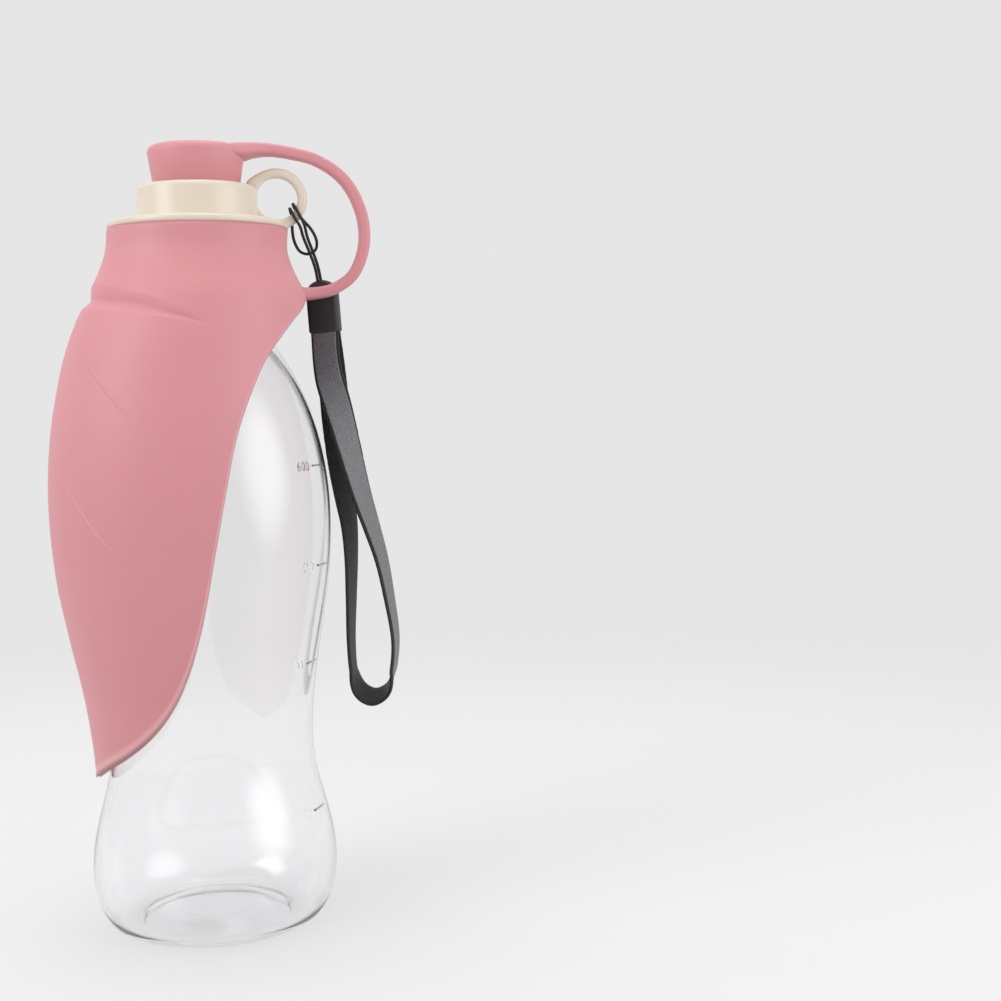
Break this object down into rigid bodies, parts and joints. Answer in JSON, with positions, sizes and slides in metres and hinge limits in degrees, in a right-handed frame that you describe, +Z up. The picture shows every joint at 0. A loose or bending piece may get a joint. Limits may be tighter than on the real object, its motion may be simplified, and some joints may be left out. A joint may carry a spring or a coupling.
{
  "type": "dog travel water bottle",
  "caption": "Clear travel water bottle for dogs with a soft leaf-shaped drinking cup on a screw cap, a strapped spout plug and a wrist lanyard.",
  "frame": {"origin": "centre of the bottle's base, on the surface that it stands on", "axes": "+Z up along the bottle, -X along the leaf's midrib, +X towards the strap and the lanyard, -Y towards the viewer in the picture"},
  "size_m": [0.1139, 0.0902, 0.2548],
  "materials": {
    "clear_plastic": "clear, glossy",
    "cream_plastic": "smooth, softly glossy",
    "washer_rubber": "matte",
    "pink_silicone": "satin silicone",
    "black_cord": "braided",
    "dark_moulding": "satin",
    "black_webbing": "woven",
    "grey_tape": "fine reflective weave"
  },
  "bodies": {
    "bottle": {"bottle": "clear_plastic"},
    "washer": {"cap_washer": "washer_rubber"},
    "head": {"cap": "cream_plastic", "leaf_cup": "pink_silicone"},
    "plug": {"spout_plug": "pink_silicone", "plug_strap": "pink_silicone"},
    "lanyard": {"lanyard_cord": "black_cord", "lanyard_clamp": "dark_moulding", "wrist_webbing": "black_webbing", "reflective_tape": "grey_tape"}
  },
  "joints": [
    {"name": "cap_rise", "type": "slide", "parent": "bottle", "child": "washer", "axis": [0, 0, 1], "range_m": [0, 0.0051]},
    {"name": "cap_turn", "type": "hinge", "parent": "washer", "child": "head", "pos_m": [0, 0, 0.22], "axis": [0, 0, 1], "range_deg": [0, 450]},
    {"name": "plug_pull", "type": "slide", "parent": "head", "child": "plug", "axis": [0, 0, 1], "range_m": [0, 0.01], "deforming": ["plug_strap"]},
    {"name": "lanyard_swing", "type": "hinge", "parent": "head", "child": "lanyard", "pos_m": [0.0256, 0, 0.2371], "axis": [0, -1, 0], "range_deg": [0, 90]}
  ],
  "couplings": [
    {"joint": "cap_rise", "follows": "cap_turn", "m_per_rad": 0.00063662}
  ]
}
